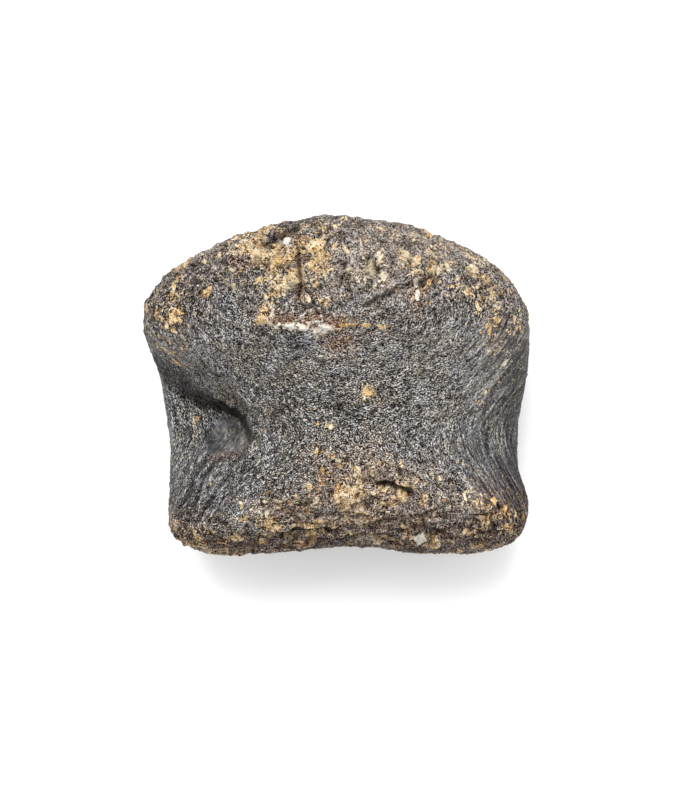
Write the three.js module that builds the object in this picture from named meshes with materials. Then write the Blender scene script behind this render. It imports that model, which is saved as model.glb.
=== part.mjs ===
// Fossil toe bone (a pedal phalanx) of a large plant-eating dinosaur, lying on its plantar side.
// Millimetres. +X runs across the bone, +Y towards its proximal end (the end nearer the ankle),
// +Z is up, out of its dorsal side. The origin is under the middle of the bone, on the floor.
import * as THREE from "three";
import { mergeVertices } from "three/addons/utils/BufferGeometryUtils.js";

// ---- driving sizes -------------------------------------------------------------------------
// The bone is one block whose surface is named by three runs from -1 to 1:
// u across (left to right), v along (distal to proximal), w through (plantar to dorsal).
const SEGMENTS = { across: 34, along: 32, through: 20 };
const PLAN_CORNER = { distal: 7.5, proximal: 5.6 }; // how square the corners are from above: 2 is an ellipse

// Half widths to the left and right of the long axis, at stations along v.
const LEFT = [[-1, 39.4], [-0.6, 39.0], [-0.3, 38.8], [0, 39.8], [0.4, 41.8], [0.75, 46.2], [1, 49.0]];
const RIGHT = [[-1, 46.2], [-0.65, 46.0], [-0.35, 44.0], [-0.05, 43.9], [0.35, 45.5], [0.7, 47.0], [1, 47.6]];

// Ends seen from above: the proximal edge is domed, the distal edge is nearly straight.
const PROXIMAL_REACH = 38.2; // from the long axis' middle to the top of the dome
const DOME_CENTRE = 0.04; // where the dome tops out, along u
const DOME_DROP = 18.4; // how far the dome falls towards the corners
const DOME_POWER = 1.74; // how the fall grows with the distance from the dome's centre
const DISTAL_REACH = 42.0; // to the ends of the two condyles
const DISTAL_HOLLOW = 0.6; // how far the edge is let in between the condyles
const DISTAL_HOLLOW_WIDTH = 0.32; // along u
const DISTAL_HOLLOW_CENTRE = 0.06; // along u

// Heights, at stations along v: the dorsal crown, the widest level and the plantar face.
const CROWN = [[-1, 44], [-0.7, 45.5], [-0.4, 44.2], [-0.12, 43.4], [0.12, 45.0], [0.42, 50.6], [0.65, 53.6], [0.85, 54.6], [1, 54.6]];
const WIDEST = [[-1, 20], [-0.6, 16.5], [-0.15, 15], [0.35, 18], [0.7, 22], [1, 25]];
const SOLE = [[-1, 1], [-0.7, -1.0], [-0.3, 2.2], [0.05, 3.6], [0.35, 2.0], [0.65, -1.2], [1, 1]];

// How round the bone is between a face and its sides (across) or ends (along): 2 is a half ellipse.
const ACROSS_ROUND = [[-1, 2.5], [-0.5, 2.2], [-0.1, 2.0], [0.3, 2.2], [0.7, 2.5], [1, 2.5]];
const ALONG_ROUND = [[-1, 2.9], [0, 3.2], [1, 3.0]];
const PLANTAR_ROUND = [[-1, 2.5], [-0.6, 2.9], [0, 2.8], [0.6, 3.1], [1, 2.8]];

// Proximal joint face: a shallow cup under the dorsal lip, with a low upright ridge that parts it.
const CUP = {
  depth: 6.5, // mm
  from: 0.5, to: 0.98, // where it starts and is in full, along v
  width: 0.62, height: 0.42, centre: -0.08, // along u, along w and its middle along w
  ridge: 0.35, ridgeWidth: 0.2, // share of the depth that the ridge fills, and its width along u
};

// Hollows and swellings: centre and reach in mm, and the way they push the surface, in mm.
const FEATURES = {
  leftLigamentPit: { at: [-29.5, -12, 29], reach: [9, 9, 10], push: [5.0, 1.6, -3.6] },
  leftPitThroat: { at: [-26, -12, 34], reach: [6, 6.5, 7], push: [3.2, 2.0, -4.2] },
  leftPitHollow: { at: [-24.5, -9.5, 36], reach: [5.5, 5, 9], push: [0.6, 0, -2.6] },
  leftFlankScoop: { at: [-36, -1, 32], reach: [9, 8, 10], push: [3.0, 0, -3.6] },
  rightLigamentPit: { at: [35, -10, 31], reach: [9, 13, 9], push: [-1.8, 0, -1.6] },
  trochleaGroove: { at: [2, -41, 20], reach: [11, 11, 22], push: [0, 1.4, -0.4] },
  leftCondyle: { at: [-22, -33, 38], reach: [11, 9, 10], push: [0, 0, 0.6] },
  rightCondyle: { at: [26, -32, 38], reach: [12, 9, 10], push: [0, 0, 0.7] },
  dorsalLip: { at: [2, 27, 50], reach: [17, 8, 9], push: [0, 0.3, 0.6] },
  leftShoulder: { at: [-36, 19, 40], reach: [11, 10, 12], push: [-0.6, 0, 1.0] },
  rightShoulder: { at: [37, 18, 40], reach: [11, 11, 12], push: [0.6, 0, 0.8] },
  flexorGroove: { at: [1, 24, 0], reach: [11, 17, 9], push: [0, 0, 3.2] },
  leftTubercle: { at: [-24, 23, 0], reach: [12, 10, 8], push: [0, 0, -0.9] },
  rightTubercle: { at: [24, 23, 0], reach: [12, 10, 8], push: [0, 0, -0.9] },
  leftHeel: { at: [-20, -24, 0], reach: [11, 9, 8], push: [0, 0, -1.3] },
  rightHeel: { at: [22, -24, 0], reach: [11, 9, 8], push: [0, 0, -0.9] },
  distalNotch: { at: [2, -31, 0], reach: [10, 12, 9], push: [0, 0, 2.6] },
};

const BEARING_LEVEL = 1.0; // the bone's lowest swellings are worn flat up to this height

// ---- shape functions -----------------------------------------------------------------------
const clamp = (t, low, high) => Math.min(high, Math.max(low, t));
const ease = (from, to, x) => {
  const t = clamp((x - from) / (to - from), 0, 1);
  return t * t * (3 - 2 * t);
};
const bell = (x, reach) => Math.exp(-((x / reach) ** 2));

// The height of a smooth curve through [place, value] stations, with no overshoot between them.
function along(stations, place) {
  const n = stations.length;
  if (place <= stations[0][0]) return stations[0][1];
  if (place >= stations[n - 1][0]) return stations[n - 1][1];
  let i = 0;
  while (place > stations[i + 1][0]) i++;
  const rise = (k) => (stations[k + 1][1] - stations[k][1]) / (stations[k + 1][0] - stations[k][0]);
  const slope = (k) => {
    if (k === 0 || k === n - 1) return 0;
    const a = rise(k - 1), b = rise(k);
    return a * b <= 0 ? 0 : (2 * a * b) / (a + b);
  };
  const [x0, y0] = stations[i], [x1, y1] = stations[i + 1];
  const h = x1 - x0, t = (place - x0) / h;
  return (
    y0 * (1 + 2 * t) * (1 - t) ** 2 + slope(i) * h * t * (1 - t) ** 2 +
    y1 * t * t * (3 - 2 * t) + slope(i + 1) * h * t * t * (t - 1)
  );
}

// From a point on the cube to the same direction on a rounded block.
function onBlock(cu, cv, cw) {
  const au = Math.abs(cu), av = Math.abs(cv);
  const lengthwise = av ** 4 / (au ** 4 + av ** 4 + 1e-9);
  const dorsal = THREE.MathUtils.lerp(along(ACROSS_ROUND, cv), along(ALONG_ROUND, cv), lengthwise);
  const round = cw > 0 ? dorsal : along(PLANTAR_ROUND, cv);
  const corner = cv > 0 ? PLAN_CORNER.proximal : PLAN_CORNER.distal;
  const plan = (au ** corner + av ** corner) ** (1 / corner);
  const r = (plan ** round + Math.abs(cw) ** round) ** (-1 / round);
  return [cu * r, cv * r, cw * r];
}

const proximalEdge = (u) => PROXIMAL_REACH - DOME_DROP * Math.abs(u - DOME_CENTRE) ** DOME_POWER;
const distalEdge = (u) => -DISTAL_REACH + DISTAL_HOLLOW * bell(u - DISTAL_HOLLOW_CENTRE, DISTAL_HOLLOW_WIDTH);

// From the rounded block to the bone.
function onBone(u, v, w) {
  const left = along(LEFT, v), right = along(RIGHT, v);
  const widest = along(WIDEST, v);
  const p = new THREE.Vector3(
    (right - left) / 2 + (u * (right + left)) / 2,
    THREE.MathUtils.lerp(distalEdge(u), proximalEdge(u), (v + 1) / 2),
    widest + w * (w > 0 ? along(CROWN, v) - widest : widest - along(SOLE, v)),
  );
  const cup = bell(u, CUP.width) * bell(w - CUP.centre, CUP.height) * (1 - CUP.ridge * bell(u, CUP.ridgeWidth));
  p.y -= CUP.depth * cup * ease(CUP.from, CUP.to, v);
  const rest = p.clone();
  for (const { at, reach, push } of Object.values(FEATURES)) {
    const far = rest.toArray().reduce((sum, x, k) => sum + ((x - at[k]) / reach[k]) ** 2, 0);
    p.addScaledVector(new THREE.Vector3(...push), Math.exp(-far));
  }
  return p;
}

// ---- the bone ------------------------------------------------------------------------------
function phalanxGeometry() {
  const cube = new THREE.BoxGeometry(2, 2, 2, SEGMENTS.across, SEGMENTS.along, SEGMENTS.through);
  cube.deleteAttribute("normal");
  cube.deleteAttribute("uv");
  const bone = mergeVertices(cube, 1e-4);
  const place = bone.getAttribute("position");
  for (let i = 0; i < place.count; i++) {
    const p = onBone(...onBlock(place.getX(i), place.getY(i), place.getZ(i)));
    place.setXYZ(i, p.x, p.y, p.z);
  }
  bone.computeBoundingBox();
  const floor = bone.boundingBox.min.z + BEARING_LEVEL;
  for (let i = 0; i < place.count; i++) place.setZ(i, Math.max(0, place.getZ(i) - floor));
  bone.computeBoundingBox();
  const middle = bone.boundingBox.getCenter(new THREE.Vector3());
  bone.translate(-middle.x, -middle.y, 0);
  bone.computeVertexNormals();
  return bone;
}

const phalanx = new THREE.Mesh(
  phalanxGeometry(),
  new THREE.MeshStandardMaterial({ color: 0x4b4844, roughness: 0.72, metalness: 0 }),
);
phalanx.name = "phalanx";

const toeBone = new THREE.Group();
toeBone.add(phalanx);

export default toeBone;
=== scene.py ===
import math

import bpy
import numpy as np
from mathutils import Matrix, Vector


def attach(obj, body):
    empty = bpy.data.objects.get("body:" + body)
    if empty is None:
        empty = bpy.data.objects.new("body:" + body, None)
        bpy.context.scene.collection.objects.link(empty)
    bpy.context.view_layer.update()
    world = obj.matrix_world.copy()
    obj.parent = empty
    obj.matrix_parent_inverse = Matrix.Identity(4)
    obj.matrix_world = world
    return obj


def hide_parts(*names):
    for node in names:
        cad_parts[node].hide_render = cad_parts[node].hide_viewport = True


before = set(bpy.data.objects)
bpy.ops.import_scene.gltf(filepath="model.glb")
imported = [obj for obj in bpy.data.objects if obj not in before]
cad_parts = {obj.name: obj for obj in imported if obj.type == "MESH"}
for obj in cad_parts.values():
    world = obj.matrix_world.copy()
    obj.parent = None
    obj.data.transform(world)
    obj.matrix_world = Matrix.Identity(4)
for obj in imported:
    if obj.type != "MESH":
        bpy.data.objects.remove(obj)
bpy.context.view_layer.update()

SEED = 20631
GRID = ((328, 300, 132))  # cells across, along and through

# ---- the bone's shape, in millimetres: the same functions as the construction -----------------
PLAN_CORNER = {"distal": 7.5, "proximal": 5.6}
LEFT = [[-1, 39.4], [-0.6, 39.0], [-0.3, 38.8], [0, 39.8], [0.4, 41.8], [0.75, 46.2], [1, 49.0]]
RIGHT = [[-1, 46.2], [-0.65, 46.0], [-0.35, 44.0], [-0.05, 43.9], [0.35, 45.5], [0.7, 47.0], [1, 47.6]]
PROXIMAL_REACH, DOME_CENTRE, DOME_DROP, DOME_POWER = 38.2, 0.04, 18.4, 1.74
DISTAL_REACH, DISTAL_HOLLOW, DISTAL_HOLLOW_WIDTH, DISTAL_HOLLOW_CENTRE = 42.0, 0.6, 0.32, 0.06
CROWN = [[-1, 44], [-0.7, 45.5], [-0.4, 44.2], [-0.12, 43.4], [0.12, 45.0], [0.42, 50.6], [0.65, 53.6], [0.85, 54.6], [1, 54.6]]
WIDEST = [[-1, 20], [-0.6, 16.5], [-0.15, 15], [0.35, 18], [0.7, 22], [1, 25]]
SOLE = [[-1, 1], [-0.7, -1.0], [-0.3, 2.2], [0.05, 3.6], [0.35, 2.0], [0.65, -1.2], [1, 1]]
ACROSS_ROUND = [[-1, 2.5], [-0.5, 2.2], [-0.1, 2.0], [0.3, 2.2], [0.7, 2.5], [1, 2.5]]
ALONG_ROUND = [[-1, 2.9], [0, 3.2], [1, 3.0]]
PLANTAR_ROUND = [[-1, 2.5], [-0.6, 2.9], [0, 2.8], [0.6, 3.1], [1, 2.8]]
CUP = {"depth": 6.5, "from": 0.5, "to": 0.98, "width": 0.62, "height": 0.42, "centre": -0.08, "ridge": 0.35, "ridge_width": 0.2}
FEATURES = {  # centre, reach and push, in mm
    "left_ligament_pit": ((-29.5, -12, 29), (9, 9, 10), (5.0, 1.6, -3.6)),
    "left_pit_throat": ((-26, -12, 34), (6, 6.5, 7), (3.2, 2.0, -4.2)),
    "left_flank_scoop": ((-36, -1, 32), (9, 8, 10), (3.0, 0, -3.6)),
    "right_ligament_pit": ((35, -10, 31), (9, 13, 9), (-1.8, 0, -1.6)),
    "trochlea_groove": ((2, -41, 20), (11, 11, 22), (0, 1.4, -0.4)),
    "left_condyle": ((-22, -33, 38), (11, 9, 10), (0, 0, 0.6)),
    "right_condyle": ((26, -32, 38), (12, 9, 10), (0, 0, 0.7)),
    "dorsal_lip": ((2, 27, 50), (17, 8, 9), (0, 0.3, 0.6)),
    "left_shoulder": ((-36, 19, 40), (11, 10, 12), (-0.6, 0, 1.0)),
    "right_shoulder": ((37, 18, 40), (11, 11, 12), (0.6, 0, 0.8)),
    "flexor_groove": ((1, 24, 0), (11, 17, 9), (0, 0, 3.2)),
    "left_tubercle": ((-24, 23, 0), (12, 10, 8), (0, 0, -0.9)),
    "right_tubercle": ((24, 23, 0), (12, 10, 8), (0, 0, -0.9)),
    "left_heel": ((-20, -24, 0), (11, 9, 8), (0, 0, -1.3)),
    "right_heel": ((22, -24, 0), (11, 9, 8), (0, 0, -0.9)),
    "distal_notch": ((2, -31, 0), (10, 12, 9), (0, 0, 2.6)),
}
BEARING_LEVEL = 1.0


def ease(low, high, x):
    t = np.clip((x - low) / (high - low), 0, 1)
    return t * t * (3 - 2 * t)


def bell(x, reach):
    return np.exp(-((x / reach) ** 2))


def along(stations, place):
    """The height of a smooth curve through [place, value] stations, with no overshoot between them."""
    x, y = np.asarray(stations, float).T
    rise = np.diff(y) / np.diff(x)
    slope = np.zeros(len(x))
    a, b = rise[:-1], rise[1:]
    same = a * b > 0
    slope[1:-1][same] = 2 * a[same] * b[same] / (a[same] + b[same])
    t = np.clip(place, x[0], x[-1])
    i = np.clip(np.searchsorted(x, t, "left") - 1, 0, len(x) - 2)
    h = x[i + 1] - x[i]
    s = (t - x[i]) / h
    return y[i] * (1 + 2 * s) * (1 - s) ** 2 + slope[i] * h * s * (1 - s) ** 2 + y[i + 1] * s * s * (3 - 2 * s) + slope[i + 1] * h * s * s * (s - 1)


def on_block(cube):
    cu, cv, cw = cube.T
    au, av = np.abs(cu), np.abs(cv)
    lengthwise = av**4 / (au**4 + av**4 + 1e-9)
    dorsal = along(ACROSS_ROUND, cv) * (1 - lengthwise) + along(ALONG_ROUND, cv) * lengthwise
    rounding = np.where(cw > 0, dorsal, along(PLANTAR_ROUND, cv))
    corner = np.where(cv > 0, PLAN_CORNER["proximal"], PLAN_CORNER["distal"])
    plan = (au**corner + av**corner) ** (1 / corner)
    return cube * ((plan**rounding + np.abs(cw) ** rounding) ** (-1 / rounding))[:, None]


def on_bone(block):
    u, v, w = block.T
    left, right, widest = along(LEFT, v), along(RIGHT, v), along(WIDEST, v)
    proximal = PROXIMAL_REACH - DOME_DROP * np.abs(u - DOME_CENTRE) ** DOME_POWER
    distal = -DISTAL_REACH + DISTAL_HOLLOW * bell(u - DISTAL_HOLLOW_CENTRE, DISTAL_HOLLOW_WIDTH)
    x = (right - left) / 2 + u * (right + left) / 2
    y = distal + (proximal - distal) * (v + 1) / 2
    z = widest + w * np.where(w > 0, along(CROWN, v) - widest, widest - along(SOLE, v))
    cup = bell(u, CUP["width"]) * bell(w - CUP["centre"], CUP["height"]) * (1 - CUP["ridge"] * bell(u, CUP["ridge_width"]))
    y = y - CUP["depth"] * cup * ease(CUP["from"], CUP["to"], v)
    rest = np.stack([x, y, z], 1)
    made = rest.copy()
    for at, reach, push in FEATURES.values():
        made += np.exp(-(((rest - at) / reach) ** 2).sum(1))[:, None] * np.asarray(push, float)
    return made


def cube_grid(nu, nv, nw):
    """The points of a cube's surface grid, its quads facing out, and each quad's corners on a map of six charts."""
    shape = (nu + 1, nv + 1, nw + 1)
    shell = np.zeros(shape, bool)
    shell[[0, -1]] = shell[:, [0, -1]] = shell[:, :, [0, -1]] = True
    number = np.full(shape, -1, np.int64)
    number[shell] = np.arange(shell.sum())
    cube = np.argwhere(shell) / np.array([nu, nv, nw]) * 2 - 1
    faces = [  # grid, turned round, lower corner of its chart, size of its chart
        (number[:, :, -1], False, (0.005, 0.345), (0.49, 0.65)),
        (number[:, :, 0], True, (0.505, 0.345), (0.49, 0.65)),
        (number[0], True, (0.005, 0.005), (0.24, 0.33)),
        (number[-1], False, (0.255, 0.005), (0.24, 0.33)),
        (number[:, 0], False, (0.505, 0.005), (0.24, 0.33)),
        (number[:, -1], True, (0.755, 0.005), (0.24, 0.33)),
    ]
    quads, maps = [], []
    for grid, turned, low, size in faces:
        a, b = grid.shape
        s, t = np.meshgrid(np.linspace(0, 1, a), np.linspace(0, 1, b), indexing="ij")
        chart = np.stack([low[0] + s * size[0], low[1] + t * size[1]], -1)

        def corners(g):
            q = np.stack([g[:-1, :-1], g[1:, :-1], g[1:, 1:], g[:-1, 1:]], 2)
            q = q.reshape(-1, 4, *g.shape[2:])
            return q[:, ::-1] if turned else q

        quads.append(corners(grid))
        maps.append(corners(chart))
    return cube, np.concatenate(quads), np.concatenate(maps)


def normals(points, quads):
    a, b, c, d = (points[quads[:, k]] for k in range(4))
    across = np.cross(c - a, d - b)
    total = np.zeros_like(points)
    for k in range(4):
        for axis in range(3):
            total[:, axis] += np.bincount(quads[:, k], across[:, axis], len(points))
    return total / np.maximum(np.linalg.norm(total, axis=1), 1e-12)[:, None]


cube, quads, charts = cube_grid(*GRID)
bone = on_bone(on_block(cube))
floor_level = bone[:, 2].min() + BEARING_LEVEL
middle = (bone.max(0) + bone.min(0)) / 2
bone -= (middle[0], middle[1], floor_level)
bone[:, 2] = np.maximum(0, bone[:, 2])
facing = normals(bone, quads)

# ---- seeded noise -----------------------------------------------------------------------------
dice = np.random.default_rng(SEED)
SHUFFLE = dice.permutation(4096).astype(np.int32)
SLOPES = dice.normal(size=(4096, 3)).astype(np.float32)
SLOPES /= np.linalg.norm(SLOPES, axis=1)[:, None]
CHANCE = dice.random(4096).astype(np.float32)
JITTER = dice.random((4096, 3)).astype(np.float32)


def hashed(ix, iy, iz):
    return SHUFFLE[(SHUFFLE[(SHUFFLE[ix & 4095] + iy) & 4095] + iz) & 4095]


def noise(points, size, shift=0.0):
    """Smooth noise from about -1 to 1 with features about size across."""
    q = (points / size + shift * 17.31).astype(np.float32)
    base = np.floor(q).astype(np.int32)
    f = q - base
    fade = f * f * f * (f * (f * 6 - 15) + 10)
    total = np.zeros(len(q), np.float32)
    for i in (0, 1):
        wx = fade[:, 0] if i else 1 - fade[:, 0]
        for j in (0, 1):
            wy = fade[:, 1] if j else 1 - fade[:, 1]
            for k in (0, 1):
                wz = fade[:, 2] if k else 1 - fade[:, 2]
                g = SLOPES[hashed(base[:, 0] + i, base[:, 1] + j, base[:, 2] + k)]
                dot = g[:, 0] * (f[:, 0] - i) + g[:, 1] * (f[:, 1] - j) + g[:, 2] * (f[:, 2] - k)
                total += wx * wy * wz * dot
    return total * 1.7


def layers(points, size, count, keep=0.5, shift=0.0):
    total, part = np.zeros(len(points), np.float32), 1.0
    for k in range(count):
        total += part * noise(points, size / 2**k, shift + 3.7 * k)
        part *= keep
    return total


def cells(points, size, shift=0.0):
    """Distance to the nearest of scattered seeds, one in each cell of this size, how much farther the next one is, and two chances of that seed's own."""
    q = (points / size + shift * 13.77).astype(np.float32)
    base = np.floor(q).astype(np.int32)
    near, second = np.full(len(q), 9.0, np.float32), np.full(len(q), 9.0, np.float32)
    seed = np.zeros(len(q), np.int32)
    for i in (-1, 0, 1):
        for j in (-1, 0, 1):
            for k in (-1, 0, 1):
                cell = base + (i, j, k)
                h = hashed(cell[:, 0], cell[:, 1], cell[:, 2])
                gap = cell + JITTER[h] - q
                far = (gap * gap).sum(1)
                closer = far < near
                second = np.where(closer, near, np.minimum(second, far))
                near = np.where(closer, far, near)
                seed = np.where(closer, h, seed)
    return np.sqrt(near), np.sqrt(second) - np.sqrt(near), CHANCE[seed], CHANCE[(seed * 7 + 1301) & 4095]


# ---- where things are on the bone -------------------------------------------------------------
X, Y, Z = bone.T
dorsal = ease(12, 24, Z) * ease(-0.25, 0.25, facing[:, 2] + 0.15)
steep = ease(0.55, 0.1, facing[:, 2])
ends = ease(0.55, 0.9, np.abs(facing[:, 1]))  # the two joint faces
under = ease(0.2, 0.7, -facing[:, 2])
proximal_face = ease(1.05, 0.80, np.hypot((X - 1.0) / 36, (Z - 25) / 17.5)) * ease(0.35, 0.7, facing[:, 1])
distal_face = ease(1.05, 0.80, np.hypot((X - 3.0) / 36, (Z - 17) / 16.0)) * ease(0.35, 0.7, -facing[:, 1])
face = np.maximum(proximal_face, distal_face)  # the smoother middle of each joint face, inside its rough rim
broad = layers(bone, 17, 3, 0.55, 11)
flank = ease(22, 32, np.abs(X - 1.5)) * ease(32, 16, np.abs(Y + 9))  # smooth, striated sides of the waist
patchy = layers(bone, 8, 2, 0.6, 12)
def patch(x, y, wide, long, turn=0.0):
    """A soft spot on the dorsal side."""
    a = math.radians(turn)
    dx, dy = X - x, Y - y
    return np.exp(-(((dx * math.cos(a) + dy * math.sin(a)) / wide) ** 2) - ((dy * math.cos(a) - dx * math.sin(a)) / long) ** 2) * dorsal


bare = np.clip(0.9 * patch(-25, 18, 8, 6.5) + 0.5 * patch(27, 13, 8, 6) + 0.9 * patch(-28, -23, 12, 6) + 0.5 * patch(4, 17.5, 4, 3), 0, 1)  # smooth skin between the crusts
cap = ease(7, 29, Y + 0.003 * (X - 1.5) ** 2 + 5 * broad + 4 * patchy) * ease(8, 20, Z)  # the swollen proximal end
foot = ease(-15, -32, Y + 6 * ease(-8, -20, X) - 7 * bell(X - 6, 12) + 4 * broad + 3 * patchy) * ease(8, 20, Z)  # the rough distal end
cap *= 1 - 0.8 * bare
foot *= 1 - 0.8 * bare
crusted = np.maximum(np.maximum(cap, foot), 0.8 * ends) * (1 - 0.65 * face)

# The grain sweeps round the waist: out to both ends along the flanks, across the bone along its midline.
SADDLE, SWEEP = (0.7, -11.0), 18.0
swing = np.tanh((Y - SADDLE[1]) / SWEEP)
bend = np.where(swing > 0, 4.7, 3.2) * SWEEP * swing * (1 - swing**2)
run = np.stack([bend, X - SADDLE[0], np.zeros(len(X))], 1)
run /= np.linalg.norm(run, axis=1)[:, None] + 1e-6
run[:, 2] = -(run * facing).sum(1) / np.maximum(facing[:, 2], 0.4)
run -= facing * (run * facing).sum(1)[:, None]
run /= np.linalg.norm(run, axis=1)[:, None] + 1e-6
drawn = np.clip(0.75 + 0.5 * flank - 0.45 * crusted, 0.2, 1) * (1 - 0.8 * ends) * (1 - 0.5 * under)
run *= drawn[:, None]


def strokes(size, reach, shift):
    """Noise drawn out along the grain."""
    total = sum(w * noise(bone + run * (k * reach), size, shift) for k, w in ((-2, 0.6), (-1, 0.9), (0, 1.0), (1, 0.9), (2, 0.6)))
    return total * (0.36 + 0.10 * drawn)


def trace(path, ragged=0.5, shift=0.0):
    """Distance across a line on the dorsal side, above 0 on the left as it runs, and a window that fades at its ends."""
    path = np.asarray(path, float)
    wander = ragged * (noise(bone, 2.6, shift) + 0.5 * noise(bone, 1.1, shift + 1))
    best = np.full(len(X), 1e9)
    side, past = np.zeros(len(X)), np.zeros(len(X))
    for k, (a, b) in enumerate(zip(path[:-1], path[1:])):
        length = np.hypot(*(b - a))
        way = (b - a) / length
        free = (X - a[0]) * way[0] + (Y - a[1]) * way[1]
        s = np.clip(free, 0, length)
        dx, dy = X - a[0] - s * way[0], Y - a[1] - s * way[1]
        far = np.hypot(dx, dy)
        closer = far < best
        best = np.where(closer, far, best)
        side = np.where(closer, way[0] * dy - way[1] * dx, side)
        over = np.maximum(-free if k == 0 else 0, free - length if k == len(path) - 2 else 0)
        past = np.where(closer, np.maximum(over, 0), past)
    return side + wander, np.exp(-((past / 1.3) ** 2)) * dorsal


def bed(line, wide):
    """1 in the bed of a groove along a traced line, fading to 0 at its sides and ends."""
    side, window = line
    return np.exp(-((side / wide) ** 2)) * window


def ledge(line, rise, fall):
    """A step along a traced line: up on its left, easing back over 5 mm, and down on its right, easing back over 2.5 mm."""
    side, window = line
    up = 0.5 + 0.5 * np.tanh(side / 0.28)
    return window * (rise * up * np.exp(-np.maximum(side, 0) / 5) - fall * (1 - up) * np.exp(np.minimum(side, 0) / 2.5))


shelf = trace([(-17.0, 14.3), (-11.5, 13.0), (-5.9, 13.2), (0.6, 12.2)], 0.7, 21)
short_shelf = trace([(1.6, 13.0), (4.9, 13.8), (10.4, 13.0)], 0.8, 22)
lip = trace([(7.0, 18.4), (12.9, 21.1), (20.0, 23.6)], 0.6, 23)
red_groove = trace([(-8.4, 28.8), (-8.0, 24.6), (-8.3, 20.4)], 0.4, 25)
notch = trace([(-15.9, 32.3), (-12.7, 33.8), (-9.2, 35.9)], 0.4, 26)
arch = trace([(-13.4, 26.6), (-11.7, 30.4), (-8.9, 31.4), (-6.3, 30.6), (-4.7, 28.4), (-3.3, 25.8)], 0.9, 33)
crack = trace([(10.2, -21.9), (12.8, -22.5), (15.9, -24.0)], 0.7, 27)
distal_groove = trace([(-17.5, -34.6), (-8.4, -32.4), (-1.7, -33.2), (5.9, -33.9), (11.0, -34.0)], 0.7, 24)
right_groove = trace([(14.5, -32.9), (19.8, -32.4), (25.5, -33.8)], 0.6, 28)
upper_groove = trace([(-9, -27.2), (-2, -28.6), (4, -29.4)], 0.8, 29)
pit_rim = trace([(-43.5, 7.9), (-38.4, 3.8), (-30.2, -1.9), (-24.6, -4.9), (-21.2, -6.9), (-19.4, -10.1), (-19.2, -12.8), (-21.0, -15.1), (-24.5, -16.2), (-27.6, -16.9)], 0.25, 39)
pit_lip = trace([(-27.6, -16.9), (-24.5, -16.2), (-21.4, -14.9)], 0.3, 30)
wrinkles = [
    trace([(-21.6, -15.4), (-23.5, -17.7), (-24.8, -21.3), (-23.9, -24.4)], 0.25, 42),
    trace([(-26.7, -16.8), (-30.3, -20.4), (-32.1, -25.4)], 0.3, 43),
    trace([(-20.3, -13.1), (-21.2, -19.0), (-23.0, -22.7)], 0.3, 44),
    trace([(-29.0, -17.0), (-33.2, -21.0), (-34.4, -27.0)], 0.3, 45),
]

# the left ligament pit: a wall that starts high on the flank and bends round a smooth floor, open towards the flank
inward = -pit_rim[0]
wall_wide = 1.5 + 2.6 * ease(-24, -36, X)
pit_depth = (1.5 + 2.5 * bell(np.hypot(X + 23.5, Y + 7.5), 7.5)) * ease(-17.2, -12.5, Y) + 0.35
pit = pit_depth * ease(-0.3, 1.0, inward / wall_wide) * np.exp(-np.maximum(inward - wall_wide, 0) / 7) * pit_rim[1]
pit_floor = ease(1.15, 0.6, np.hypot((X + 24.8) / 5.6, (Y + 11.6) / 4.8)) * ease(0.3, 1.4, inward) * dorsal
pit_shade = ease(-0.5, 0.25, inward / wall_wide) * ease(1.35, 0.7, inward / wall_wide) * pit_rim[1] * ease(-15.5, -10.5, Y) * (0.7 + 0.3 * ease(-36, -25, X))

# ---- where its minerals lie ---------------------------------------------------------------------
thick = 0.03 + 0.24 * cap + 0.34 * foot + 0.25 * ends + 0.16 * under - 0.02 * flank
thick += 0.75 * patch(-20, 29.5, 5, 4) + 0.70 * patch(-13, 27.5, 4.5, 6) + 1.2 * patch(-7, 29, 5, 4) + 0.20 * patch(0, 24, 7, 8)
thick += 0.50 * patch(16, 28.5, 5, 6) + 0.22 * patch(27, 29, 6, 4) + 0.36 * patch(-36, 23, 7, 6) + 0.36 * patch(-40, 13, 6, 7)
thick += 0.36 * patch(38, 18, 6, 7) + 0.26 * patch(-14, 18, 4, 4) + 0.34 * patch(-2, 16, 6, 5) + 0.30 * patch(-1.5, 7.5, 3, 3)
thick += 0.75 * patch(4.5, -22.5, 6, 4.5) + 0.35 * patch(1, -28, 9, 4) + 0.40 * patch(-18, -28.5, 5, 3.5) + 0.16 * patch(31, -28, 7, 4)
thick += 0.34 * patch(12, -23, 10, 4) + 0.25 * patch(-28, -35, 9, 4) + 0.5 * patch(7, -1.2, 2.2, 2.0) + 0.30 * patch(-1.5, -11, 4, 5) + 0.3 * patch(33, -4, 3, 4) + 0.2 * patch(40, 5, 4, 9)
thick += 0.08 * patch(34, 10, 7, 12) + 0.15 * patch(20, 25, 9, 6) + 0.16 * patch(-8, -31, 16, 3.5) + 0.12 * patch(-33, -8, 5, 16)
thick *= 1 - 0.72 * face
thick -= 0.6 * patch(-7, 16.3, 8, 2.2) * ease(0.3, 1.2, shelf[0])
thick = np.maximum(thick, 0.02) * (1 + 0.8 * noise(bone, 7.5, 53))
share = np.clip(thick * (1 + 1.5 * noise(bone, 3.2, 54)), 0, 1.4)
warp = np.stack([noise(bone, 1.7, 50 + k) + 0.6 * noise(bone, 0.7, 53 + k) for k in range(3)], 1)
_, between, chance, tone = cells((bone + 0.5 * warp) * (1, 0.66, 1), 1.5, 2)
knobs = ease(0.05, 0.5, between) * (chance < 0.15 + 0.6 * share)  # raised knobs of the crust
gap = ease(0.20, 0.03, between)
mosaic = np.clip(0.10 + 0.55 * crusted + 0.5 * under - 0.1 * flank, 0, 1) * (1 - pit_floor)
crust_noise = noise(bone, 1.3, 55) + 0.5 * noise(bone, 0.7, 58)
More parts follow.
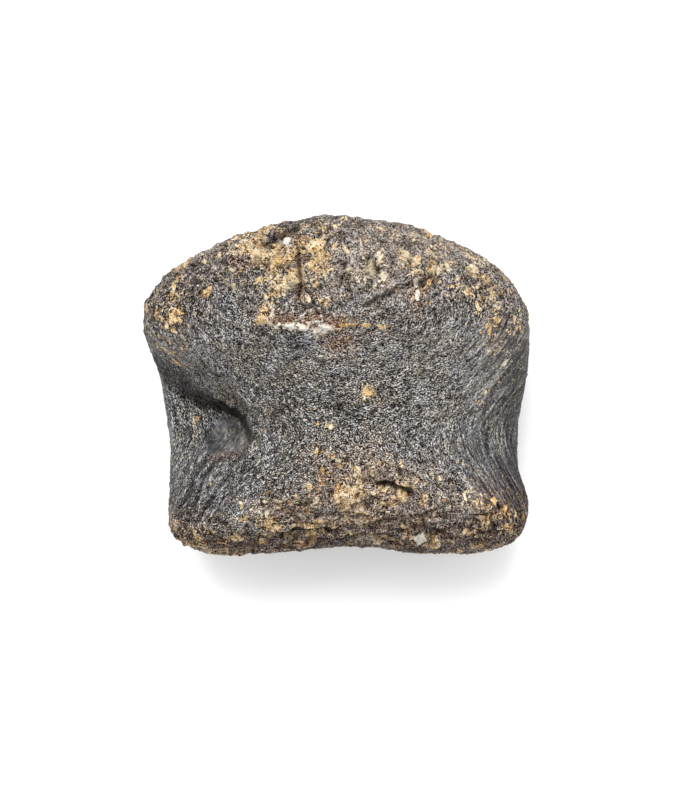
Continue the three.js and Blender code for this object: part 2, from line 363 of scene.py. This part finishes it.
cream = np.maximum.reduce([
    1.4 * ease(1.35 + 0.7 * ease(-8, -4, X), 0.45, np.abs(shelf[0] - 0.35)) * shelf[1] * ease(-0.45, 0.15, crust_noise + 0.3 * ease(-8, -4, X) + 0.4 * ease(-13, -15.5, X)) * ease(0.2, -2.0, X),
    0.8 * ease(2.9, 1.6, np.abs(shelf[0] - 2.2)) * shelf[1] * ease(0.30, 0.5, crust_noise),
    1.3 * ease(0.9, 0.3, np.abs(short_shelf[0] - 0.2)) * short_shelf[1] * ease(-0.35, 0.2, crust_noise),
    1.5 * patch(-11.2, 32.4, 1.6, 1.2) * ease(-0.7, 0.1, crust_noise),
    1.3 * patch(7.0, -1.2, 1.7, 1.5) * ease(-0.7, 0.1, crust_noise),
    0.9 * ease(2.4, 0.6, np.abs(arch[0])) * arch[1] * ease(-0.05, 0.35, crust_noise),
])
chip = ease(1.12, 0.88, np.maximum(np.abs(0.8 * (X - 19.0) + 0.6 * (Y + 34.4)) / 1.15, np.abs(0.9 * (Y + 34.4) - 0.45 * (X - 19.0)) / 0.85)) * dorsal
small_chip = ease(1.35, 0.9, np.hypot(X - 22.7, Y + 35.4) + 0.25 * noise(bone, 1.5, 36)) * dorsal
pale = np.where(Y < 20, ease(-19, -12, X) * ease(3, 0, X), bell(np.hypot(X + 11.2, Y - 32.4), 1.7))  # white crust, ochre elsewhere
tone = np.where(cream > 0.15, 0.35 * tone + 0.65 * pale, tone)
calcite = np.maximum(
    ease(1.0, 0.6, np.hypot(1.5 * (X - 17.9), 0.62 * (Y - 20.2)) + 0.25 * noise(bone, 1.3, 37)),
    ease(0.8, 0.5, np.hypot(1.2 * (X - 17.6), 0.7 * (Y - 23.0)) + 0.25 * noise(bone, 1.3, 38)),
) * dorsal
cream = np.maximum.reduce([cream, 1.7 * chip, 1.1 * small_chip, 1.5 * calcite])
tone = np.where(np.maximum(chip, calcite) > 0.15, 0.85 + 0.15 * tone, tone)
rust = np.maximum.reduce([
    ease(5.2, 1.2, shelf[0]) * ease(-0.5, 0.3, shelf[0]) * shelf[1],
    0.6 * patch(0.5, 9.5, 3.6, 2.8),
    0.9 * bed(red_groove, 1.1),
    0.8 * patch(17.8, 21.3, 2.4, 4.2),
    0.7 * bed(right_groove, 1.5),
    0.5 * bed(distal_groove, 1.6),
    0.5 * patch(-22, 28, 4, 3),
    0.25 * bed(pit_lip, 0.8),
    0.38 * foot,
    0.15 * cap,
    0.5 * ease(4.5, 1.5, np.abs(arch[0])) * arch[1],
])

# ---- relief, in mm ----------------------------------------------------------------------------
relief = 0.50 * noise(bone, 19, 1) + 0.26 * noise(bone, 9.5, 2)
rough = 0.45 + 0.65 * crusted + 0.25 * under - 0.25 * flank
lumps = 0.26 * noise(bone, 5.0, 3) + 0.16 * noise(bone, 2.7, 4)
relief += rough * lumps
relief += 0.5 * 4 * proximal_face * (1 - proximal_face) + 0.3 * 4 * distal_face * (1 - distal_face)  # a low rim round each joint face

# folds, crevices and fine granules drawn out along the lie of the bone, long striae on the flanks
grain = 0.75 * strokes(1.1, 0.36, 5) + 0.95 * strokes(0.66, 0.24, 6)
folds = strokes(2.1, 0.8, 41)
skin = strokes(1.45, 0.55, 47)
crevices = ease(0.17, 0.03, np.abs(skin)) * ease(-0.5, 0.3, noise(bone, 5.5, 48)) * (1 - 0.85 * flank) * (1 - pit_floor)
sides = np.flatnonzero(flank > 0.02)
striae = np.zeros(len(X))
striae[sides] = sum(noise(bone[sides] + run[sides] * (0.42 * k), 0.8, 7) for k in range(-7, 8)) / 15 * 3.2
grain = grain * (1 - ease(-10, 10, X) * 0.7 * flank) + (0.6 + 1.6 * ease(-10, 10, X) + 1.0 * ease(-14, -20, Y) * ease(-10, -20, X)) * striae * flank * (1 - pit_floor)
relief += (0.10 + 0.04 * rough) * grain + 0.22 * folds * (1 - 0.5 * flank) + 0.10 * skin * (1 - 0.6 * flank) - 0.20 * crevices
far, _, likely, _ = cells(bone + 0.5 * warp, 2.3, 1)
pores = ease(0.36, 0.14, far) * (likely < 0.08 + 0.20 * crusted)
cracks = 0.9 * ease(0.13, 0.03, np.abs(noise(bone * (1, 0.36, 0.7), 2.4, 64))) * cap
cracks *= ease(-0.2, 0.4, noise(bone, 5.0, 65))
cracks += ease(0.22, 0.05, np.abs(noise(bone * (0.2, 1, 0.8), 2.0, 63))) * ease(-23, -30, Y) * dorsal * ease(-0.5, 0.0, noise(bone, 6.0, 69)) * (1 - 0.6 * bare)  # furrows across the distal end
cracks += 0.8 * face * ease(0.055, 0.012, np.abs(layers(bone, 12, 3, 0.45, 67))) * ease(-0.3, 0.2, noise(bone, 9, 68))  # drying cracks
relief -= 0.45 * cracks + 0.10 * gap * mosaic
relief -= 0.35 * pores
creases = sum(bed(line, 0.45) for line in wrinkles)
relief -= 0.40 * creases

# crusts, ledges, grooves, cracks and chips
relief += 0.09 * knobs + (0.14 + 0.25 * crust_noise) * np.clip(cream, 0, 1) + 0.7 * chip + 0.5 * small_chip
relief += ledge(shelf, 0.75, 0.45) + ledge(short_shelf, 0.45, 0.30) + ledge(lip, 0.35, 0.35) + ledge(distal_groove, 0.45, 0.25)
cut = 0.5 * bed(lip, 0.7) + 0.85 * bed(red_groove, 0.6) + 1.0 * bed(notch, 1.0) + 1.7 * bed(crack, 0.55) + 1.0 * bed(distal_groove, 0.5)
cut += 0.7 * bed(right_groove, 0.6) + 0.55 * bed(upper_groove, 0.55) + 0.9 * patch(6.7, -27.1, 0.9, 0.8) + 0.3 * bed(pit_lip, 0.5)
relief -= cut
relief *= 1 - 0.85 * pit_floor
made = bone + facing * relief[:, None]
made[:, 2] -= pit
made[:, 2] = np.maximum(made[:, 2], 0)

# painted shade: darker in pores, grooves, the pit's wall, creases and crevices, under the cap's overhang on the left
# flank, on the steep sides, towards the distal edge and in the hollows of the proximal cup; only the patches on the
# joint faces are stains
stain_and_painted_shade = np.maximum.reduce([
    pores,
    np.clip(cut * 1.2, 0, 1),
    0.3 * patch(-33, 3.0, 9, 4.0, -25),
    1.15 * pit_shade,
    0.7 * creases,
    0.55 * crevices,
    0.2 * ease(-30, -37, Y) * dorsal,
    0.5 * steep * (1 - ends) * ease(30, 12, np.abs(Y + 8)),
    0.2 * steep * (1 - ends),
    0.25 * face * ease(0.1, 0.5, broad),
    0.32 * proximal_face * bell(np.hypot((np.abs(X - 1.5) - 14) / 13, (Z - 22) / 11), 1.0),
])
# painted shade in the low parts of the lumps and folds
stain_and_painted_shade += np.clip(-lumps * 1.2, 0, 0.4) * rough + np.clip(-0.4 * folds, 0, 0.4)
# lighter and darker patches of the bone, with painted shade on the pit's wall, down the steep right and left edges and
# towards the distal edge
lift_and_painted_shade = 0.07 * mosaic - 0.10 * np.clip(rust, 0, 1) * cap + 0.10 * pit_floor - 0.10 * pit_shade
lift_and_painted_shade += 0.10 * ease(24, 34, X) * flank - 0.22 * ease(36, 43, X) * ease(14, 2, Y) + 0.06 * cap * ease(-12, 6, X) - 0.05 * cap * ease(-12, -30, X)
lift_and_painted_shade += 0.10 * patch(6, 27, 18, 8) + 0.07 * patch(2, -29, 22, 4) + 0.07 * patch(12, -20, 6, 4) + 0.05 * patch(-26, 28, 5, 4) + 0.05 * patch(26, 9, 6, 4) + 0.05 * patch(21, -7, 4, 4)
lift_and_painted_shade -= 0.05 * ease(-30, -36, Y) * dorsal + 0.10 * patch(-41, 16, 5, 6) + 0.10 * patch(42, 12, 4, 6) + 0.06 * patch(1, -13, 4, 4) + 0.05 * patch(-13, 20, 4, 3)
lift_and_painted_shade += 0.10 * patch(0, 27, 9, 6) + 0.10 * patch(24, 8, 8, 5) + 0.12 * patch(-31, 9, 9, 4) + 0.09 * patch(26, -9, 5, 5) + 0.10 * patch(-8, -29, 17, 3) + 0.06 * patch(13, -19, 8, 4) - 0.04 * foot + 0.10 * patch(3, -27, 8, 4) + 0.10 * patch(21, -29, 6, 4)
lift_and_painted_shade -= 0.10 * patch(0, -5, 17, 6) + 0.06 * patch(-13, -5, 5, 6) + 0.06 * patch(14, -4, 5, 6) + 0.08 * patch(-35, -12, 5, 9) + 0.15 * patch(38, -20, 5, 12) + 0.10 * patch(-33, 20, 9, 4) + 0.08 * patch(-34, -26, 5, 5)
attributes = {
    "lift_and_painted_shade": lift_and_painted_shade,
    "tone": tone,
    "gap": np.clip(np.maximum(0.45 * gap * mosaic, 1.1 * cracks), 0, 1),
    "mosaic": mosaic,
    "cream": cream,
    "rust": np.clip(rust, 0, 1),
    "stain_and_painted_shade": np.clip(stain_and_painted_shade, 0, 1),
    "grain": grain,
    "plain": np.clip(1.1 * pit_floor + 0.6 * face + (0.12 + 0.5 * ease(-10, 10, X)) * flank + 0.45 * patch(-17, -7, 9, 15) + 0.35 * patch(-29, -23, 9, 6) + 0.5 * cap * ease(0.05, 0.45, noise(bone, 4.2, 66)), 0, 1),
    "thick": share,
    "steel": np.clip(flank * (0.7 + 0.5 * broad) + patch(-9, 9.5, 6, 4) + 0.8 * patch(22, -14, 9, 6) + 0.5 * bare, 0, 1),
}
bone = made

# ---- mesh -------------------------------------------------------------------------------------
mesh = bpy.data.meshes.new("toe_bone")
mesh.vertices.add(len(bone))
mesh.vertices.foreach_set("co", (bone / 1000).astype(np.float32).ravel())
mesh.loops.add(quads.size)
mesh.loops.foreach_set("vertex_index", quads.astype(np.int32).ravel())
mesh.polygons.add(len(quads))
mesh.polygons.foreach_set("loop_start", np.arange(0, quads.size, 4, dtype=np.int32))
mesh.polygons.foreach_set("use_smooth", np.ones(len(quads), bool))
mesh.update(calc_edges=True)
mesh.validate()
uv = mesh.uv_layers.new(name="OFBake")
uv.data.foreach_set("uv", charts.astype(np.float32).ravel())
for name, values in attributes.items():
    layer = mesh.attributes.new(name, "FLOAT", "POINT")
    layer.data.foreach_set("value", np.asarray(values, np.float32))
layer = mesh.attributes.new("run", "FLOAT_VECTOR", "POINT")
layer.data.foreach_set("vector", run.astype(np.float32).ravel())

skin = bpy.data.objects.new("toe_bone", mesh)
bpy.context.scene.collection.objects.link(skin)

# ---- finish -----------------------------------------------------------------------------------
ROOM = 1.2  # how bright the room is on an upward face: a colour as it is seen is this much its reflectance


def linear(r, g, b):
    """Reflectance of a colour that is seen as this sRGB colour."""
    return tuple(((c / 255 + 0.055) / 1.055) ** 2.4 / ROOM for c in (r, g, b)) + (1.0,)


stone = bpy.data.materials.new("fossil_bone")
stone.use_nodes = True
tree = stone.node_tree
shader = tree.nodes["Principled BSDF"]


def node(kind, **settings):
    made = tree.nodes.new(kind)
    for name, value in settings.items():
        setattr(made, name, value)
    return made


def read(name, output="Fac"):
    return node("ShaderNodeAttribute", attribute_name=name).outputs[output]


def fine(size, detail=2.0, vector=None, roughness=0.55, distortion=0.0):
    """Noise from 0 to 1 with features about size mm across."""
    made = node("ShaderNodeTexNoise")
    made.inputs["Scale"].default_value = 1 / size
    made.inputs["Detail"].default_value = detail
    made.inputs["Roughness"].default_value = roughness
    made.inputs["Distortion"].default_value = distortion
    tree.links.new(vector or millimetres, made.inputs["Vector"])
    return made.outputs[0]


def fill(socket, value):
    if isinstance(value, bpy.types.NodeSocket):
        tree.links.new(value, socket)
    else:
        socket.default_value = value


def math_node(operation, a, b=0.0, c=0.0, clamp=False):
    made = node("ShaderNodeMath", operation=operation, use_clamp=clamp)
    for socket, value in zip(made.inputs, (a, b, c)):
        fill(socket, value)
    return made.outputs[0]


def step_between(low, high, value):
    made = node("ShaderNodeMapRange", interpolation_type="SMOOTHSTEP")
    fill(made.inputs["Value"], value)
    made.inputs["From Min"].default_value = low
    made.inputs["From Max"].default_value = high
    return made.outputs[0]


def ramp(value, *stops):
    made = node("ShaderNodeValToRGB")
    band = made.color_ramp
    while len(band.elements) < len(stops):
        band.elements.new(0.5)
    for element, (place, colour) in zip(band.elements, stops):
        element.position, element.color = place, colour
    tree.links.new(value, made.inputs["Fac"])
    return made.outputs["Color"]


def blend(factor, a, b, kind="MIX"):
    made = node("ShaderNodeMix", data_type="RGBA", blend_type=kind)
    fill(made.inputs[0], factor)
    fill(made.inputs[6], a)
    fill(made.inputs[7], b)
    return made.outputs[2]


scaled = node("ShaderNodeVectorMath", operation="SCALE")
tree.links.new(node("ShaderNodeTexCoord").outputs["Object"], scaled.inputs[0])
scaled.inputs["Scale"].default_value = 1000.0
millimetres = scaled.outputs[0]

tiny = fine(0.26, 1.0)  # grains of under a millimetre
small = fine(1.7, 3.0)
wide = fine(13.0, 3.0)
cool = fine(5.5, 3.0)

# fine strokes along the lie of the bone
fibre = None
for k, weight in ((-2, 0.16), (-1, 0.22), (0, 0.24), (1, 0.22), (2, 0.16)):
    shifted = node("ShaderNodeVectorMath", operation="MULTIPLY_ADD")
    tree.links.new(read("run", "Vector"), shifted.inputs[0])
    shifted.inputs[1].default_value = (0.085 * k,) * 3
    tree.links.new(millimetres, shifted.inputs[2])
    tap = fine(0.205, 0.0, shifted.outputs[0])
    fibre = math_node("MULTIPLY", tap, weight) if fibre is None else math_node("MULTIPLY_ADD", tap, weight, fibre)
fibre = math_node("MULTIPLY_ADD", fibre, 4.2, -2.1)  # about -0.7 to 0.7

# granules of three sizes, longer than wide, each of one colour and with a dark rim of painted shade round it
stir = node("ShaderNodeTexNoise")
stir.inputs["Scale"].default_value = 1 / 1.1
tree.links.new(millimetres, stir.inputs["Vector"])
longer = node("ShaderNodeVectorMath", operation="MULTIPLY")
tree.links.new(millimetres, longer.inputs[0])
longer.inputs[1].default_value = (1.0, 0.66, 1.0)
stirred = node("ShaderNodeVectorMath", operation="MULTIPLY_ADD")
tree.links.new(stir.outputs["Color"], stirred.inputs[0])
stirred.inputs[1].default_value = (1.5, 1.2, 1.5)
tree.links.new(longer.outputs[0], stirred.inputs[2])
granule = rim = shade = None
for size, part, least in ((2.6, 0.26, -0.20), (1.4, 0.46, -0.12), (0.5, 0.14, -0.01)):
    cell = node("ShaderNodeTexVoronoi", feature="F1")
    edge = node("ShaderNodeTexVoronoi", feature="DISTANCE_TO_EDGE")
    for made in (cell, edge):
        made.inputs["Scale"].default_value = 1 / size
        tree.links.new(stirred.outputs[0], made.inputs["Vector"])
    own = node("ShaderNodeSeparateColor")
    tree.links.new(cell.outputs["Color"], own.inputs[0])
    there = step_between(-0.02, 0.02, math_node("SUBTRACT", math_node("MULTIPLY_ADD", read("thick"), part, part * least), own.outputs[0]))
    body = step_between(0.06, 0.18, math_node("ADD", edge.outputs["Distance"], math_node("MULTIPLY_ADD", tiny, 0.16, -0.08)))
    there_body = math_node("MULTIPLY", there, body)
    granule = there_body if granule is None else math_node("MAXIMUM", granule, there_body)
    rim = there if rim is None else math_node("MAXIMUM", rim, there)
    if shade is None:
        shade = own.outputs[1]
    else:
        pick = node("ShaderNodeMix")
        tree.links.new(there_body, pick.inputs[0])
        tree.links.new(shade, pick.inputs[2])
        tree.links.new(own.outputs[1], pick.inputs[3])
        shade = pick.outputs[0]
crumbs = math_node("MULTIPLY_ADD", body, 0.48, math_node("MULTIPLY_ADD", own.outputs[2], 0.85, -0.76))  # the smallest cells, as the crust's own grain

# dark mineralised bone: its own light and dark grain, with painted highlight on the raised ridges and painted shade in
# the gaps, as its brightness follows the relief of the grain
lively = math_node("MULTIPLY_ADD", read("plain"), -0.8, 1.0)
height = math_node("MULTIPLY_ADD", read("grain"), 0.17, 0.46)
height = math_node("ADD", height, read("lift_and_painted_shade"))
lively = math_node("MULTIPLY_ADD", read("mosaic"), -0.30, lively)
height = math_node("MULTIPLY_ADD", fibre, lively, height)
height = math_node("MULTIPLY_ADD", math_node("MULTIPLY_ADD", tiny, 0.6, -0.30), lively, height)
height = math_node("ADD", height, math_node("MULTIPLY_ADD", wide, 0.30, -0.15))
height = math_node("MULTIPLY_ADD", math_node("MULTIPLY_ADD", read("tone"), 0.16, -0.04), read("mosaic"), height)
height = math_node("MULTIPLY_ADD", crumbs, math_node("MULTIPLY", read("mosaic"), math_node("MULTIPLY_ADD", read("plain"), -0.6, 1.0)), height)
base = ramp(
    height,
    (0.0, linear(16, 15, 15)),
    (0.25, linear(49, 47, 46)),
    (0.50, linear(88, 85, 83)),
    (0.75, linear(156, 151, 146)),
    (1.0, linear(232, 228, 219)),
)
base = blend(math_node("MULTIPLY", read("steel"), 0.8), base, blend(1.0, base, (0.93, 0.98, 1.06, 1.0), "MULTIPLY"))
base = blend(step_between(0.52, 0.66, cool), base, blend(1.0, base, (0.94, 0.98, 1.06, 1.0), "MULTIPLY"))
base = blend(step_between(0.48, 0.34, cool), base, blend(1.0, base, (0.95, 0.90, 0.84, 1.0), "MULTIPLY"))
base = blend(math_node("MULTIPLY", read("mosaic"), 0.6), base, blend(1.0, base, (1.06, 0.97, 0.97, 1.0), "MULTIPLY"))
base = blend(math_node("MULTIPLY", read("mosaic"), step_between(0.55, 0.64, small)), base, blend(1.0, base, (1.12, 0.92, 0.76, 1.0), "MULTIPLY"))

# reddish-brown stain, ochre granules and cream crust
rust = math_node("MULTIPLY", read("rust"), step_between(0.24, 0.52, small), clamp=True)
base = blend(math_node("MULTIPLY", rust, 0.92), base, ramp(height, (0.1, linear(26, 14, 11)), (0.5, linear(108, 62, 46)), (0.8, linear(196, 148, 120)), (1.0, linear(244, 226, 206))))
flecks = math_node("ADD", fine(0.55, 0.0), math_node("MULTIPLY", read("thick"), 0.28))
granule = math_node("MAXIMUM", granule, step_between(0.80, 0.86, flecks))
ochre_colour = ramp(
    math_node("ADD", math_node("MULTIPLY_ADD", height, 0.75, -0.40), math_node("MULTIPLY_ADD", shade, 0.46, 0.28)),
    (0.0, linear(154, 106, 62)),
    (0.25, linear(230, 186, 118)),
    (0.50, linear(252, 224, 164)),
    (0.80, linear(255, 250, 232)),
)
# painted shade: a dark rim round each granule
base = blend(math_node("MULTIPLY", rim, 0.75), base, blend(1.0, base, (0.38, 0.30, 0.24, 1.0), "MULTIPLY"))
base = blend(granule, base, ochre_colour)
base = blend(math_node("MULTIPLY", read("rust"), 0.7, clamp=True), base, blend(1.0, base, (1.06, 0.90, 0.74, 1.0), "MULTIPLY"))
# painted shade: darker in the sunk cracks and in the gaps between the crust's cells
base = blend(math_node("MULTIPLY", read("gap"), 0.85), base, blend(1.0, base, (0.32, 0.25, 0.20, 1.0), "MULTIPLY"))
cream_mask = step_between(0.34, 0.62, math_node("ADD", math_node("ADD", read("cream"), math_node("MULTIPLY_ADD", tiny, 1.3, -0.65)), math_node("MULTIPLY_ADD", body, 0.5, -0.42)))
base = blend(cream_mask, base, ramp(
    math_node("ADD", math_node("MULTIPLY_ADD", height, 0.7, -0.35), read("tone")),
    (0.0, linear(214, 170, 104)),
    (0.35, linear(246, 218, 156)),
    (0.70, linear(255, 246, 226)),
    (1.0, linear(255, 253, 250)),
))

# painted shade in hollows, recesses and on the steep sides, with a few real stains on the joint faces
base = blend(math_node("MULTIPLY", read("stain_and_painted_shade"), 0.94), base, blend(1.0, base, (0.11, 0.09, 0.08, 1.0), "MULTIPLY"))
tree.links.new(base, shader.inputs["Base Color"])
tree.links.new(math_node("MULTIPLY_ADD", small, 0.35, 0.45), shader.inputs["Roughness"])
shader.inputs["Specular IOR Level"].default_value = 0.25
tree.links.new(math_node("MULTIPLY_ADD", height, 0.35, 0.08, clamp=True), shader.inputs["Specular IOR Level"])

bump = node("ShaderNodeBump")
bump.inputs["Strength"].default_value = 0.8
bump.inputs["Distance"].default_value = 0.00025
tree.links.new(math_node("MULTIPLY_ADD", granule, 2.0, math_node("ADD", fibre, math_node("MULTIPLY", tiny, 0.6))), bump.inputs["Height"])
tree.links.new(bump.outputs["Normal"], shader.inputs["Normal"])
mesh.materials.append(stone)

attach(skin, "root")
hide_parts("phalanx")

# ---- floor, light and camera ------------------------------------------------------------------
scene = bpy.context.scene
FLOOR = 3.0  # half its side, in metres
floor_mesh = bpy.data.meshes.new("floor")
floor_mesh.from_pydata([(-FLOOR, -FLOOR, -0.0002), (FLOOR, -FLOOR, -0.0002), (FLOOR, FLOOR, -0.0002), (-FLOOR, FLOOR, -0.0002)], [], [(0, 1, 2, 3)])
floor = bpy.data.objects.new("floor", floor_mesh)
scene.collection.objects.link(floor)
paper = bpy.data.materials.new("paper")
paper.use_nodes = True
paper.node_tree.nodes["Principled BSDF"].inputs["Base Color"].default_value = (0.93, 0.93, 0.93, 1)
paper.node_tree.nodes["Principled BSDF"].inputs["Roughness"].default_value = 0.9
floor_mesh.materials.append(paper)

world = bpy.data.worlds.new("room")
scene.world = world
world.use_nodes = True
world.node_tree.nodes["Background"].inputs["Color"].default_value = (1, 1, 1, 1)
world.node_tree.nodes["Background"].inputs["Strength"].default_value = 1.12


def lamp(name, place, watts, size, colour=(1, 1, 1)):
    data = bpy.data.lights.new(name, "AREA")
    data.energy, data.size, data.color = watts, size, colour
    made = bpy.data.objects.new(name, data)
    made.location = place
    made.rotation_euler = (Vector((0, 0, 0.03)) - Vector(place)).to_track_quat("-Z", "Y").to_euler()
    scene.collection.objects.link(made)


lamp("key", (-0.14, 0.70, 0.95), 17, 0.9)

camera = bpy.data.cameras.new("camera")
camera.lens = 95.3
camera.clip_start, camera.clip_end = 0.05, 20
viewer = bpy.data.objects.new("camera", camera)
viewer.location = (0.00296, -0.0032, 0.52)
scene.collection.objects.link(viewer)
scene.camera = viewer
scene.view_settings.view_transform = "Standard"
